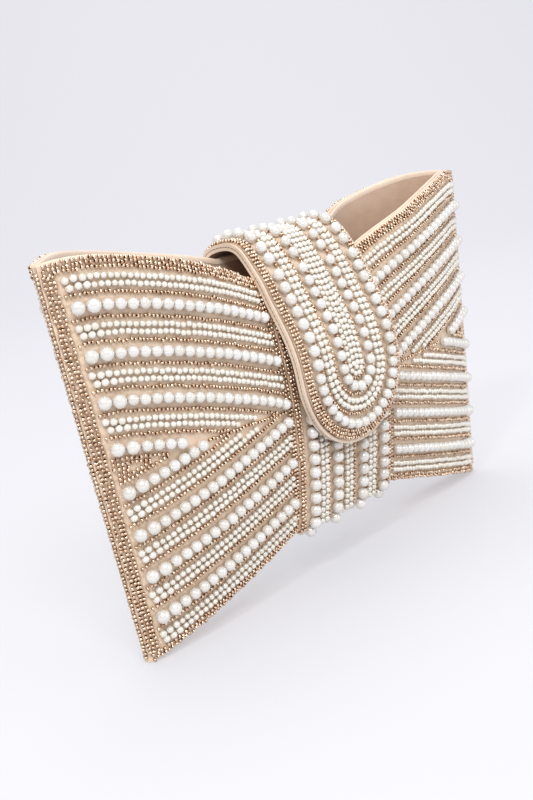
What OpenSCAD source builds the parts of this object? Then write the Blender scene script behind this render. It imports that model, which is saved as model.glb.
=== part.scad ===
// Bow-shaped evening bag: two padded, beaded satin panels, a knot band round the
// waist, and a round-tipped flap that comes from the back over the open mouth and
// closes on a magnetic snap. +X is the wearer's left-to-right width, +Y the back, +Z up.

/* [Bag] */
// Width across the two top corners
top_w = 284; // [252:2:320]
// Width across the two base corners
base_w = 253; // [224:1:290]
// Height of the corners of the mouth above the corners of the base
bag_h = 166.5; // [148:0.5:190]
// Thickness of the bag at its fullest, without beads
depth = 38; // [32:0.5:46]
// How far the front edge of the mouth dips at the knot
mouth_dip = 29; // [17:1:36]
// How far the edge of the mouth rises beside each corner
corner_lift = 3; // [0:0.5:5]
// How far the base lifts at the knot
base_rise = 26; // [15:1:35]
// How much higher than the front the back edge of the mouth stands at the knot
back_rise = 10; // [4:0.5:13]

/* [Panels] */
// Whole wall of a padded panel
wall = 4.3; // [3.4:0.1:5.4]
// Thickness of the outer satin
satin_t = 0.8; // [0.6:0.1:1]
// Thickness of the lining
lining_t = 0.6; // [0.4:0.1:0.8]
// Half thickness of the bag at its side seams
seam_t = 1.6; // [1.4:0.1:2.2]
// Height of the piped binding that stands along the mouth
binding_h = 2.2; // [1.6:0.1:3]
// Thickness of the strip that closes the base
base_t = 0.8; // [0.6:0.1:1.2]
// Thickness of the pocket cloth inside the back
pocket_t = 0.6; // [0.4:0.1:0.8]

/* [Knot band and flap] */
// Width of the knot band
knot_w = 70; // [60:1:80]
// Thickness of the knot band
band_t = 1; // [0.7:0.1:1.4]
// Width of the flap
flap_w = 71; // [58:1:84]
// Thickness of the flap
flap_t = 3.1; // [2.8:0.1:3.6]
// Height of the flap's round tip above the base corners
tip_z = 60; // [52:1:68]
// Height that the flap's arch rises above its hinge line
arch_rise = 5.6; // [5:0.2:7]
// Width of the binding along the flap's edge
flap_binding_w = 1.2; // [0.9:0.1:1.6]

/* [Snap] */
// Diameter of both halves of the magnetic snap
snap_d = 15; // [12:0.5:17]
// Height of the snap above the base corners
snap_z = 88; // [84:1:92]
// Diameter of the hole in the socket
socket_bore_d = 7.2; // [6.4:0.2:8]
// Thickness of the socket
socket_h = 3.4; // [2.8:0.1:3.6]
// Diameter of the stud's nub
nub_d = 3.8; // [3:0.1:4]

/* [Pearls] */
// Diameter of the pearls in the wing rows
pearl_d = 5; // [4:0.1:5.4]
// Diameter of the first two pearls at the outer end of a row
end_pearl_d = 6; // [5:0.1:6.4]
// Distance from one row of a wing to the next
row_pitch = 9.25; // [8.4:0.05:9.5]
// Distance from the mouth or the base to the nearest row
row_inset = 7.3; // [6.5:0.1:8.5]
// Distance from the side seam to the first pearl of a row
end_inset = 9.5; // [8:0.1:12]
// Diameter of the pearls on the knot band
band_pearl_d = 5.6; // [4.6:0.1:5.6]
// Distance from one pearl of the knot band to the next
band_pearl_pitch = 6.3; // [6.3:0.1:7.5]
// Diameter of the pearls in the flap's outer columns
flap_pearl_d = 5.6; // [4.8:0.1:5.6]
// Diameter of the pearls in the flap's inner columns
inner_pearl_d = 5.1; // [4.4:0.1:5.6]
// Distance from one pearl of a flap column to the next
flap_pearl_pitch = 5.8; // [5.7:0.1:7]
// Distance of the outer columns from the middle of the flap and band
outer_column = 27; // [25:0.25:28]
// Distance of the inner columns from the middle of the flap and band
inner_column = 10; // [9:0.25:12]

/* [Hidden] */
FRONT = -1;
BACK = 1;
rows = 16;                       // rows of beads on a wing, counted from the mouth
big_rows = [2, 4, 6, 8, 9, 11, 13, 15];
row_lean = 1.03;                 // a row's height step over its true distance, on the slope
bead_gap = 0.15;                 // between a bead and what it is sewn to
string_gap = 0.06;               // between two beads on one thread
layer_gap = 0.04;                // between the layers of a panel
fit_gap = 0.3;                   // between the knot band or the flap and the bag
swell_power = 3.35;              // how fast the wings fill out from the side seam
base_share = 0.53;               // fullness at the base
front_share = [0.45, 0.9];       // fullness of the front at the mouth: knot, wings
back_share = [0.8, 1.5];         // fullness of the back at the mouth: knot, wings
lift_reach = 25;                 // width over which the mouth's edge rises from its corner
columns = 44;                    // cells across a panel
ranks = 12;                      // cells up a panel
flap_lift = band_t + band_pearl_d + 0.8 + flap_t;  // outer face of the flap over the front
mouth_lift = flap_t + band_t + fit_gap + 0.5;      // the same at the edge of the mouth
binding_inset = flap_binding_w + 0.1;
flap_satin_t = 0.6;
flap_lining_t = 0.6;
front_drop = 11;                 // height of the arch's front shoulder
hinge_clear = 0.25;              // gap in the flap's layers at each fold
back_pearl_clear = 5;            // from the back fold to the nearest pearls
front_pearl_clear = 4.1;         // from the front fold to the nearest pearls
arc_pearl_d = 5;                 // pearls round the flap's tip
flange_t = 1;
plate_t = 0.5;
prong = [3.5, 0.5];
prong_x = 4.6;
plate = [16, 12];
cut = 1;                         // how far a cutter runs past what it cuts

half_d = depth / 2;
hinge_z = bag_h + corner_lift - mouth_dip + back_rise + binding_h + 1.2;  // clear of the back's binding

// The plane of the side seams, set so that the bag's whole depth is centred on y = 0
back_reach = max([for (x = [knot_w / 2:5:top_w / 2]) half_depth(x, row_z(2, x, BACK), BACK)]) + pearl_d;
mid_y = (half_d + flap_lift + flap_pearl_d - back_reach) / 2;

function clamp01(v) = min(max(v, 0), 1);
function mix(a, b, t) = a + (b - a) * t;
function smooth(v) = let (t = clamp01(v)) t * t * (3 - 2 * t);

// ---- the bag's shape: outline and fullness ----

// Half width of the bag at a height
function side_x(z) = mix(base_w, top_w, z / bag_h) / 2;

// 0 at a corner and 1 at the knot
function inward(x, w) = clamp01((w / 2 - abs(x)) / (w / 2 - knot_w / 2));

function mouth_z(x, side) =
    let (beside = clamp01((top_w / 2 - abs(x)) / lift_reach))
    bag_h + corner_lift * (1 - pow(1 - beside, 2)) - mouth_dip * pow(inward(x, top_w), 1.5)
    + (side > 0 ? back_rise * inward(x, top_w) : 0);
function base_z(x) = base_rise * inward(x, base_w);

// How full the mouth is: pinched in at the knot, open in the wings
function mouth_share(x, side) =
    let (share = side > 0 ? back_share : front_share)
    mix(share[0], share[1], smooth((abs(x) - knot_w / 2 - 1) / 45));

// Distance of a panel's outer face from the plane of the side seams
function half_depth(x, z, side) =
    let (p = clamp01((side_x(z) - abs(x)) / (side_x(z) - knot_w / 2)),
         q = clamp01((z - base_z(x)) / (mouth_z(x, side) - base_z(x))),
         rise = base_share + (1 - base_share) * (1 - pow(1 - min(q / 0.6, 1), 2)),
         lean = 1 + (mouth_share(x, side) - 1) * pow(clamp01((q - 0.5) / 0.5), 2))
    seam_t + (half_d - seam_t) * (1 - pow(1 - p, swell_power)) * rise * lean;

// y on a panel, at a share of its wall inwards from its outer face
function panel_y(x, z, side, share) =
    let (d = half_depth(x, z, side), w = min(wall, d - 0.75))
    mid_y + side * (d - share * w);

// ---- a layer of a panel, as a closed slab on one shared grid ----

function grid_point(i, j, side, share) =
    let (s = -1 + 2 * i / columns, t = j / ranks,
         low = base_z(s * base_w / 2) + base_t + 0.05,
         high = mouth_z(s * top_w / 2, side) - 0.05,
         x = mix(s * base_w / 2, s * top_w / 2, t), z = mix(low, high, t))
    [x, panel_y(x, z, side, share), z];

function slab_faces(n, m, flip) =
    let (row = m + 1, skin = (n + 1) * row,
         quads = concat(
             [for (i = [0:n - 1], j = [0:m - 1]) let (a = i * row + j) [a, a + row, a + row + 1, a + 1]],
             [for (i = [0:n - 1], j = [0:m - 1]) let (a = skin + i * row + j) [a, a + 1, a + row + 1, a + row]],
             [for (i = [0:n - 1]) let (a = i * row) [a, a + skin, a + skin + row, a + row]],
             [for (i = [0:n - 1]) let (a = i * row + m) [a, a + row, a + skin + row, a + skin]],
             [for (j = [0:m - 1]) [j, j + 1, j + 1 + skin, j + skin]],
             [for (j = [0:m - 1]) let (a = n * row + j) [a, a + skin, a + skin + 1, a + 1]]))
    [for (q = quads, k = [0, 1])
        let (t = k == 0 ? [q[0], q[1], q[2]] : [q[0], q[2], q[3]]) flip ? [t[0], t[2], t[1]] : t];

module panel_layer(side, from, to, i0 = 0, i1 = columns, j0 = 0, j1 = ranks) {
    points = [for (share = [from, to], i = [i0:i1], j = [j0:j1]) grid_point(i, j, side, share)];
    polyhedron(points, slab_faces(i1 - i0, j1 - j0, side > 0), convexity = 6);
}

satin_end = satin_t / wall;
padding_start = (satin_t + layer_gap) / wall;
padding_end = (wall - lining_t - layer_gap) / wall;
lining_start = (wall - lining_t) / wall;

// A strip along the mouth or the base: four edge points at each column of the grid
module strip(corners) {
    n = len(corners) - 1;
    faces = concat(
        [for (i = [0:n - 1], k = [0:3]) let (a = 4 * i + k, b = 4 * i + (k + 1) % 4) [a, b, b + 4]],
        [for (i = [0:n - 1], k = [0:3]) let (a = 4 * i + k, b = 4 * i + (k + 1) % 4) [a, b + 4, a + 4]],
        [[0, 3, 2], [0, 2, 1], [4 * n, 4 * n + 1, 4 * n + 2], [4 * n, 4 * n + 2, 4 * n + 3]]);
    polyhedron([for (c = corners, p = c) p], faces, convexity = 6);
}

function station(i, w) = (-1 + 2 * i / columns) * w / 2;

module mouth_binding(side) {
    strip([for (i = [0:columns]) let (x = station(i, top_w), low = mouth_z(x, side), top = low + binding_h)
        let (out_low = panel_y(x, low, side, 0), in_low = panel_y(x, low, side, 1),
             out_top = panel_y(x, top, side, 0), in_top = panel_y(x, top, side, 1))
        side < 0
            ? [[x, out_low, low], [x, out_top, top], [x, in_top, top], [x, in_low, low]]
            : [[x, out_low, low], [x, in_low, low], [x, in_top, top], [x, out_top, top]]]);
}

module base_strip() {
    color("tan")
        strip([for (i = [0:columns]) let (x = station(i, base_w), z = base_z(x), d = half_depth(x, z, FRONT) - 0.05)
            [[x, mid_y - d, z], [x, mid_y - d, z + base_t], [x, mid_y + d, z + base_t], [x, mid_y + d, z]]]);
}

// Slots for the socket's two prongs, and the seat of its backplate
module prong_slots(reach) {
    for (s = [-1, 1])
        translate([s * prong_x - prong[0] / 2 - 0.2, mid_y - half_d - band_t - cut, snap_z - prong[1] / 2 - 0.2])
            cube([prong[0] + 0.4, reach, prong[1] + 0.4]);
}

module front_satin() {
    color("burlywood") difference() {
        panel_layer(FRONT, 0, satin_end);
        prong_slots(wall + 3);
    }
}

module front_padding() {
    color("whitesmoke") difference() {
        panel_layer(FRONT, padding_start, padding_end, 1, columns - 1);
        prong_slots(wall + 3);
        translate([-plate[0] / 2 - 0.2, mid_y - half_d + wall - lining_t - plate_t - 0.6, snap_z - plate[1] / 2 - 0.2])
            cube([plate[0] + 0.4, 4, plate[1] + 0.4]);
    }
}

module front_lining() { color("rosybrown") panel_layer(FRONT, lining_start, 1, 1, columns - 1); }
module back_satin() { color("burlywood") panel_layer(BACK, 0, satin_end); }
module back_padding() { color("whitesmoke") panel_layer(BACK, padding_start, padding_end, 1, columns - 1); }
module back_lining() { color("rosybrown") panel_layer(BACK, lining_start, 1, 1, columns - 1); }
module front_mouth_binding() { color("tan") mouth_binding(FRONT); }
module back_mouth_binding() { color("tan") mouth_binding(BACK); }

// Turned-in seam allowances between the two satins, down each side
module side_seams() {
    half_t = seam_t - 0.25;
    allowance = 4.5;
    color("tan") for (s = [-1, 1])
        scale([s, 1, 1]) translate([0, mid_y + half_t, 0]) rotate([90, 0, 0])
            linear_extrude(2 * half_t)
                polygon([[base_w / 2 - 0.2, base_t + 0.4], [top_w / 2 - 0.2, bag_h - 0.4],
                         [top_w / 2 - allowance, bag_h - 0.4],
                         [base_w / 2 - allowance, base_t + base_rise * 0.06 + 0.4]]);
}

module slip_pocket() {
    color("rosybrown") panel_layer(BACK, 1 + 0.15 / wall, 1 + (0.15 + pocket_t) / wall, 14, 30, 4, 9);
}

// ---- the knot band ----

// The band's side view: down the front, round the base and up the back, at a
// distance from the bag's faces, with round corners at the base
mouth_mid_z = mouth_z(0, FRONT);
band_top_z = mouth_mid_z - 1;
band_back_z = hinge_z - 16;
function band_path(d, top, back) =
    let (low = half_depth(0, base_rise, FRONT), steps = 14)
    concat(
        [for (k = [0:steps]) let (z = mix(top, base_rise, k / steps)) [mid_y - half_depth(0, z, FRONT) - d, z]],
        [for (a = [195:15:270]) [mid_y - low + d * cos(a), base_rise + d * sin(a)]],
        [for (a = [270:15:345]) [mid_y + low + d * cos(a), base_rise + d * sin(a)]],
        [for (k = [0:steps]) let (z = mix(base_rise, back, k / steps)) [mid_y + half_depth(0, z, BACK) + d, z]]);

function reversed(list) = [for (i = [len(list) - 1:-1:0]) list[i]];

// A side view, in y and z, carried across the bag's width
module across(w) { translate([-w / 2, 0, 0]) rotate([90, 0, 90]) linear_extrude(w) children(); }

module knot_band() {
    color("burlywood") difference() {
        across(knot_w)
            polygon(concat(band_path(fit_gap + band_t, band_top_z, band_back_z),
                           reversed(band_path(fit_gap, band_top_z, band_back_z))));
        prong_slots(wall + 3);
    }
}

// ---- the flap: one side view from the tail on the back, over the mouth, to the tip ----

function corner_cut(p) = concat([p[0]],
    [for (i = [0:len(p) - 2], t = [0.25, 0.75]) mix(p[i], p[i + 1], t)], [p[len(p) - 1]]);

function flap_front_y(z) =
    mid_y - half_depth(0, z, FRONT) - mix(mouth_lift, flap_lift, smooth((mouth_mid_z + 2 - z) / 38));
function flap_back_y(z) = mid_y + half_depth(0, min(z, mouth_z(0, BACK)), BACK) + fit_gap + flap_t;

tail_z = hinge_z - 15;
arch_back = flap_back_y(hinge_z);
arch_front = flap_front_y(mouth_mid_z);
arch_y = (arch_back + arch_front) / 2 + 1.5;
arch_reach = [arch_back - arch_y, 0.66 * (arch_y - arch_front)];  // back and front of the crest
arch_drop = [arch_rise, front_drop];
profile_raw = concat(
    [for (z = [tail_z, hinge_z - 7, hinge_z]) [flap_back_y(z), z]],
    [for (a = [25:25:150]) let (k = a > 90 ? 1 : 0)
        [arch_y + arch_reach[k] * cos(a), hinge_z + arch_rise - arch_drop[k] * (1 - sin(a))]],
    [for (k = [0:10]) let (z = mix(mouth_mid_z + 1, tip_z - 6, k / 10)) [flap_front_y(z), z]]);
profile = corner_cut(corner_cut(profile_raw));

function lengths(p) = [for (i = 0, s = 0; i < len(p); s = s + (i + 1 < len(p) ? norm(p[i + 1] - p[i]) : 0), i = i + 1) s];
profile_l = lengths(profile);
profile_y = [for (i = [0:len(profile) - 1]) [profile_l[i], profile[i][0]]];
profile_z = [for (i = [0:len(profile) - 1]) [profile_l[i], profile[i][1]]];

function flap_at(l) = [lookup(l, profile_y), lookup(l, profile_z)];
function flap_out(l) = let (d = flap_at(l + 0.6) - flap_at(l - 0.6)) [d[1], -d[0]] / norm(d);
function flap_point(l, inward) = flap_at(l) - flap_out(l) * inward;

// Lengths along the flap at a height on its back, and on its front
crest_z = max([for (p = profile) p[1]]);
crest_l = max([for (p = profile_z) if (p[1] == crest_z) p[0]]);
function back_l(z) = lookup(z, [for (p = profile_z) if (p[0] <= crest_l) [p[1], p[0]]]);
function front_l(z) = lookup(-z, [for (p = profile_z) if (p[0] >= crest_l) [-p[1], p[0]]]);

// The two folds, over the back edge of the mouth and over its front edge
back_fold_l = back_l(hinge_z);
front_fold_l = front_l(mouth_mid_z + 4.5);
tip_l = front_l(tip_z);
round_l = tip_l - flap_w / 2;      // where the tip starts to round

function stretch(l0, l1, inward) =
    let (n = ceil((l1 - l0) / 3)) [for (k = [0:n]) flap_point(mix(l0, l1, k / n), inward)];

module flap_layer(l0, l1, out, in, w) {
    across(w) polygon(concat(stretch(l0, l1, out), reversed(stretch(l0, l1, in))));
}

// The tongue's outline seen from the front, drawn in by an inset, and long enough to cut any layer
module tongue_outline(inset) {
    r = flap_w / 2 - inset;
    translate([0, mid_y + half_d, 0]) rotate([90, 0, 0])
        linear_extrude(depth + flap_lift + 2 * flap_t) {
            translate([0, tip_z + flap_w / 2]) circle(r, $fn = 96);
            translate([-r, tip_z + flap_w / 2]) square([2 * r, bag_h]);
        }
}

module tongue_layer(out, in, inset) {
    intersection() {
        flap_layer(front_fold_l + hinge_clear, tip_l + 0.5, out, in, flap_w + 2);
        tongue_outline(inset);
    }
}

module bridge_layer(out, in, w) { flap_layer(back_fold_l + hinge_clear, front_fold_l - hinge_clear, out, in, w); }

module flap_tail() { color("burlywood") flap_layer(0, back_fold_l - hinge_clear, 0, flap_t, flap_w); }

board_out = flap_satin_t + layer_gap;
board_in = flap_t - flap_lining_t - layer_gap;

module bridge_satin() { color("burlywood") bridge_layer(0, flap_satin_t, flap_w - 2 * binding_inset); }
module bridge_board() { color("whitesmoke") bridge_layer(board_out, board_in, flap_w - 2 * binding_inset - 2); }
module bridge_lining() {
    color("rosybrown") bridge_layer(flap_t - flap_lining_t, flap_t, flap_w - 2 * binding_inset);
}
module bridge_binding() {
    color("tan") difference() {
        bridge_layer(0, flap_t, flap_w);
        bridge_layer(-cut, flap_t + cut, flap_w - 2 * flap_binding_w);
    }
}

module tongue_satin() { color("burlywood") tongue_layer(0, flap_satin_t, binding_inset); }
module tongue_board() {
    color("whitesmoke") difference() {
        tongue_layer(board_out, board_in, binding_inset + 1);
        stud_slots();
        on_snap(stud_plate - cut) translate([-plate[0] / 2 - 0.2, -plate[1] / 2 - 0.2, 0])
            cube([plate[0] + 0.4, plate[1] + 0.4, cut + plate_t + 0.1]);
    }
}
module tongue_lining() {
    color("rosybrown") difference() {
        tongue_layer(flap_t - flap_lining_t, flap_t, binding_inset);
        stud_slots();
    }
}
module tongue_binding() {
    color("tan") difference() {
        tongue_layer(0, flap_t, 0);
        intersection() {
            flap_layer(front_fold_l - 2, tip_l + 3, -cut, flap_t + cut, flap_w + 4);
            tongue_outline(flap_binding_w);
        }
    }
}

// ---- the snap, with its distances measured out from the front panel ----

snap_y = mid_y - half_depth(0, snap_z, FRONT);
socket_face = band_t + fit_gap + 0.1;
flap_inside = snap_y - lookup(front_l(snap_z), profile_y) - flap_t;
stud_face = flap_inside - 0.4;
stud_plate = flap_inside + flap_t - board_in + 0.05;

// Local +Z points out of the front of the bag, at a distance from the panel
module on_snap(out) { translate([0, snap_y - out, snap_z]) rotate([90, 0, 0]) children(); }

module snap_socket() {
    color("goldenrod") on_snap(socket_face) {
        difference() {
            union() {
                cylinder(h = socket_h - 0.6, d = snap_d, $fn = 64);
                translate([0, 0, socket_h - 0.6]) cylinder(h = 0.6, d1 = snap_d, d2 = snap_d - 1.2, $fn = 64);
            }
            translate([0, 0, socket_h - 2.8]) cylinder(h = 2.8 + cut, d = socket_bore_d, $fn = 48);
            translate([0, 0, -cut]) difference() {
                cylinder(h = socket_h - 1 + cut, d = snap_d - 1.2, $fn = 64);
                cylinder(h = socket_h - 1 + cut, d = socket_bore_d + 1.2, $fn = 48);
            }
        }
        for (s = [-1, 1])
            translate([s * prong_x - prong[0] / 2, -prong[1] / 2, -(wall - lining_t - 0.4)])
                cube([prong[0], prong[1], wall - lining_t - 0.4 + socket_h - 0.5]);
    }
}

module snap_magnet() {
    color("dimgray") on_snap(socket_face + 0.1) difference() {
        cylinder(h = socket_h - 1.3, d = snap_d - 1.4, $fn = 64);
        translate([0, 0, -cut]) cylinder(h = socket_h + cut, d = socket_bore_d + 1.4, $fn = 48);
        for (s = [-1, 1])
            translate([s * prong_x - prong[0] / 2 - 0.1, -prong[1] / 2 - 0.1, -cut])
                cube([prong[0] + 0.2, prong[1] + 0.2, socket_h + 2 * cut]);
    }
}

module backplate(out) {
    on_snap(out) difference() {
        translate([-plate[0] / 2, -plate[1] / 2, 0]) cube([plate[0], plate[1], plate_t]);
        for (s = [-1, 1])
            translate([s * prong_x - prong[0] / 2 - 0.1, -prong[1] / 2 - 0.1, -cut])
                cube([prong[0] + 0.2, prong[1] + 0.2, plate_t + 2 * cut]);
    }
}

module socket_backplate() { color("silver") backplate(-(wall - lining_t - 0.3)); }

module snap_stud() {
    nub_h = 3;
    color("goldenrod") {
        on_snap(stud_face - flange_t) {
            difference() {
                cylinder(h = flange_t, d = snap_d, $fn = 64);
                translate([0, 0, -cut]) cylinder(h = cut + 0.2, d = snap_d - 3, $fn = 64);
            }
            translate([0, 0, -nub_h]) cylinder(h = nub_h + 0.5, d = nub_d, $fn = 48);
            for (s = [-1, 1])
                translate([s * prong_x - prong[0] / 2, -prong[1] / 2, 0.5])
                    cube([prong[0], prong[1], flange_t - 0.5 + flap_lining_t + 1.2]);
        }
    }
}

module stud_slots() {
    for (s = [-1, 1])
        on_snap(stud_face - cut) translate([s * prong_x - prong[0] / 2 - 0.2, -prong[1] / 2 - 0.2, 0])
            cube([prong[0] + 0.4, prong[1] + 0.4, cut + flap_t - 1]);
}

module stud_backplate() { color("silver") backplate(stud_plate); }

// ---- the pearls ----

module bead(p, d) { translate(p) sphere(d = d, $fn = 24); }

function row_z(k, x, side) = k <= rows / 2
    ? mouth_z(x, side) - (row_inset + row_pitch * (k - 1)) * row_lean
    : base_z(x) + (row_inset + row_pitch * (rows - k)) * row_lean;

// The line where the rows that follow the mouth meet the rows that follow the base
function meeting_z(x, side) = (row_z(rows / 2, x, side) + row_z(rows / 2 + 1, x, side)) / 2;

// Centre of a bead that sits on a wing's face
function on_wing(x, z, side, d) =
    let (gx = half_depth(x + 0.5, z, side) - half_depth(x - 0.5, z, side),
         gz = half_depth(x, z + 0.5, side) - half_depth(x, z - 0.5, side),
         h = (d / 2 + bead_gap) / sqrt(1 + gx * gx + gz * gz))
    [x - gx * h, mid_y + side * (half_depth(x, z, side) + h), z - gz * h];

function row_point(k, x, side) = let (z = row_z(k, x, side)) [x, half_depth(x, z, side), z];

// Width stepped over for a distance along a row
function row_step(k, x, side, dist) =
    dist / norm(row_point(k, x, side) - row_point(k, x - 1, side));

// Places of the beads of a row, from the side seam to the knot
function row_places(k, side, x, i) =
    let (d = i < 2 ? end_pearl_d : pearl_d, next = i + 1 < 2 ? end_pearl_d : pearl_d)
    x < knot_w / 2 + pearl_d / 2 + 1 ? []
    : concat([[x, d]], row_places(k, side, x - row_step(k, x, side, (d + next) / 2 + string_gap), i + 1));

module wing_pearls(hand, side) {
    for (k = big_rows) {
        start = side_x(row_z(k, base_w / 2 - end_inset, side)) - end_inset;
        for (p = row_places(k, side, start, 0)) {
            z = row_z(k, p[0], side);
            clear = (k <= rows / 2 ? 1 : -1) * (z - meeting_z(p[0], side));
            c = on_wing(p[0], z, side, p[1]);
            least = k == rows / 2 + 1 ? 0 : p[1] / 2 + string_gap / 2;  // that row runs on to the point
            if (clear >= least) bead([hand * c[0], c[1], c[2]], p[1]);
        }
    }
}

module left_front_pearls() { color("ivory") wing_pearls(-1, FRONT); }
module right_front_pearls() { color("ivory") wing_pearls(1, FRONT); }
module left_back_pearls() { color("ivory") wing_pearls(-1, BACK); }
module right_back_pearls() { color("ivory") wing_pearls(1, BACK); }

// Columns of the knot band, spaced from the middle of its base
band_beads = band_path(fit_gap + band_t + bead_gap + band_pearl_d / 2, 100, band_back_z - band_pearl_d / 2);
band_l = lengths(band_beads);
band_y = [for (i = [0:len(band_beads) - 1]) [band_l[i], band_beads[i][0]]];
band_z = [for (i = [0:len(band_beads) - 1]) [band_l[i], band_beads[i][1]]];
band_end = band_l[len(band_l) - 1];
band_mid = min([for (i = [0:len(band_beads) - 1]) if (band_beads[i][0] >= mid_y) band_l[i]])
           - half_depth(0, base_rise, FRONT);

// Height up to which a front column of the band is beaded, under the flap
function band_limit(x) = abs(x) > 20 ? 99 : snap_z - snap_d / 2 - band_pearl_d;

module band_column(x, side) {
    for (i = [0:60]) {
        l = band_mid + side * (i + 0.5) * band_pearl_pitch;
        y = lookup(l, band_y);
        z = lookup(l, band_z);
        if (l > 0 && l < band_end && (side > 0 || z < band_limit(x))) bead([x, y, z], band_pearl_d);
    }
}

module band_pearls(side) { for (x = [outer_column, inner_column], s = [-1, 1]) band_column(s * x, side); }
module front_band_pearls() { color("ivory") band_pearls(FRONT); }
module back_band_pearls() {
    color("ivory") {
        band_pearls(BACK);
        for (x = [outer_column, inner_column], s = [-1, 1], i = [0, 1])
            flap_bead(s * x, back_fold_l - back_pearl_clear - i * flap_pearl_pitch,
                      x == outer_column ? flap_pearl_d : inner_pearl_d);
    }
}

module flap_bead(x, l, d) {
    p = flap_point(l, -(d / 2 + bead_gap));
    bead([x, p[0], p[1]], d);
}

module bridge_pearls() {
    first = back_fold_l + back_pearl_clear;
    last = front_fold_l - front_pearl_clear;
    n = floor((last - first) / flap_pearl_pitch);
    color("ivory") for (x = [outer_column, inner_column], s = [-1, 1], i = [0:n])
        flap_bead(s * x, mix(first, last, i / n), x == outer_column ? flap_pearl_d : inner_pearl_d);
}

// Two columns joined by a half circle round the tip
module pearl_u(x, d) {
    first = front_fold_l + front_pearl_clear;
    n = floor((round_l - first) / flap_pearl_pitch);
    arc_n = floor(PI * x / (arc_pearl_d + 0.1));
    for (s = [-1, 1], i = [0:n - 1]) flap_bead(s * x, mix(first, round_l, i / n), d);
    for (i = [0:arc_n]) {
        a = 180 * i / arc_n;
        flap_bead(x * cos(a), round_l + x * sin(a), arc_pearl_d);
    }
}

module tongue_outer_pearls() { color("ivory") pearl_u(outer_column, flap_pearl_d); }
module tongue_inner_pearls() { color("ivory") pearl_u(inner_column, inner_pearl_d); }

front_satin();
front_padding();
front_lining();
back_satin();
back_padding();
back_lining();
base_strip();
side_seams();
front_mouth_binding();
back_mouth_binding();
slip_pocket();
knot_band();
flap_tail();
snap_socket();
snap_magnet();
socket_backplate();
left_front_pearls();
right_front_pearls();
left_back_pearls();
right_back_pearls();
front_band_pearls();
back_band_pearls();
bridge_satin();
bridge_board();
bridge_lining();
bridge_binding();
bridge_pearls();
tongue_satin();
tongue_board();
tongue_lining();
tongue_binding();
tongue_outer_pearls();
tongue_inner_pearls();
snap_stud();
stud_backplate();
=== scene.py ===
import bpy
import numpy as np
from mathutils import Matrix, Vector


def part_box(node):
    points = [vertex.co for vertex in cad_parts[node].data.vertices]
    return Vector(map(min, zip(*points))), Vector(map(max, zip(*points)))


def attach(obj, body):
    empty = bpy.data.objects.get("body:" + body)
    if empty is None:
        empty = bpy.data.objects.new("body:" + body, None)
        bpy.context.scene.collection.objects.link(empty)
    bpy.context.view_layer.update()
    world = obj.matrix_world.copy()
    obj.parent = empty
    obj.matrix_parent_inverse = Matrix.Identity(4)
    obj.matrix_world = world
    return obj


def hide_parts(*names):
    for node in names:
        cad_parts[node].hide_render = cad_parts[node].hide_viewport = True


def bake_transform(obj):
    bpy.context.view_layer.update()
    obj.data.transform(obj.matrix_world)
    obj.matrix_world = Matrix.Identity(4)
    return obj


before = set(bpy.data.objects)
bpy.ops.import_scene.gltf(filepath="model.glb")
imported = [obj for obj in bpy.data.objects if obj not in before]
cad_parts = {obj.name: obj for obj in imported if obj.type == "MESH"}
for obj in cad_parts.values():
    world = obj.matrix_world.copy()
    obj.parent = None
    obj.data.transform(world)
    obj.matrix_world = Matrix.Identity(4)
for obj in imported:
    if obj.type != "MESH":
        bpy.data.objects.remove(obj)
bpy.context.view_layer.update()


# ---- Satin of the front and back panels ----
# Each face of the bag is one bow-shaped piece of champagne duchess satin, cut wide at its corners
# and narrow at the knot. It is embroidered flat, then stretched over the wadding.

FRONT, BACK = -1, 1
sides = ((FRONT, "front"), (BACK, "back"))
hands = ((-1, "left"), (1, "right"))
half_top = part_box("front_satin")[1][0]
half_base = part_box("base_strip")[1][0]
half_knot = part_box("knot_band")[1][0]
seam_y = (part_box("side_seams")[0][1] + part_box("side_seams")[1][1]) / 2
corner_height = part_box("side_seams")[1][2] + 0.0004
base_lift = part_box("base_strip")[1][2] - 0.0008
fullest = 0.019
mouth_dip = 0.029
corner_rise = 0.003
back_rise = 0.010
gather_run = 0.045  # from the knot out to where the mouth's fullness is the wing's
fill_power = 3.35  # how soon the wadding fills out from the side seam
seam_half = 0.0016
wall = 0.0043
mouth_fullness = {FRONT: (0.45, 0.9), BACK: (0.8, 1.5)}
satin_colour = (0.66, 0.49, 0.35)
satin_light = (0.84, 0.68, 0.52)


def soft_step(t):
    """Smooth rise from 0 to 1, flat at both ends: 3t squared less 2t cubed."""
    t = np.clip(t, 0, 1)
    return t * t * (3 - 2 * t)


def unit(vectors):
    """Vectors of length 1 in the same directions."""
    return vectors / np.linalg.norm(vectors, axis=-1, keepdims=True)


def inward(x, half):
    """0 at a corner of the bag and 1 at the knot."""
    return np.clip((half - np.abs(x)) / (half - half_knot), 0, 1)


def side_x(z):
    """Half width of the bag at a height: a straight line from the base corner to the mouth corner."""
    return half_base + (half_top - half_base) * z / corner_height


def mouth_z(x, side):
    """Height of the mouth's edge: a short rise beside each corner, then a dip towards the knot."""
    beside = np.clip((half_top - np.abs(x)) / 0.025, 0, 1)
    dip = mouth_dip * inward(x, half_top) ** 1.5
    rise = back_rise * inward(x, half_top) if side == BACK else 0
    return corner_height + corner_rise * (1 - (1 - beside) ** 2) - dip + rise


def base_z(x):
    """Height of the base's edge: straight from each corner up to the knot."""
    return base_lift * inward(x, half_base)


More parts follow.
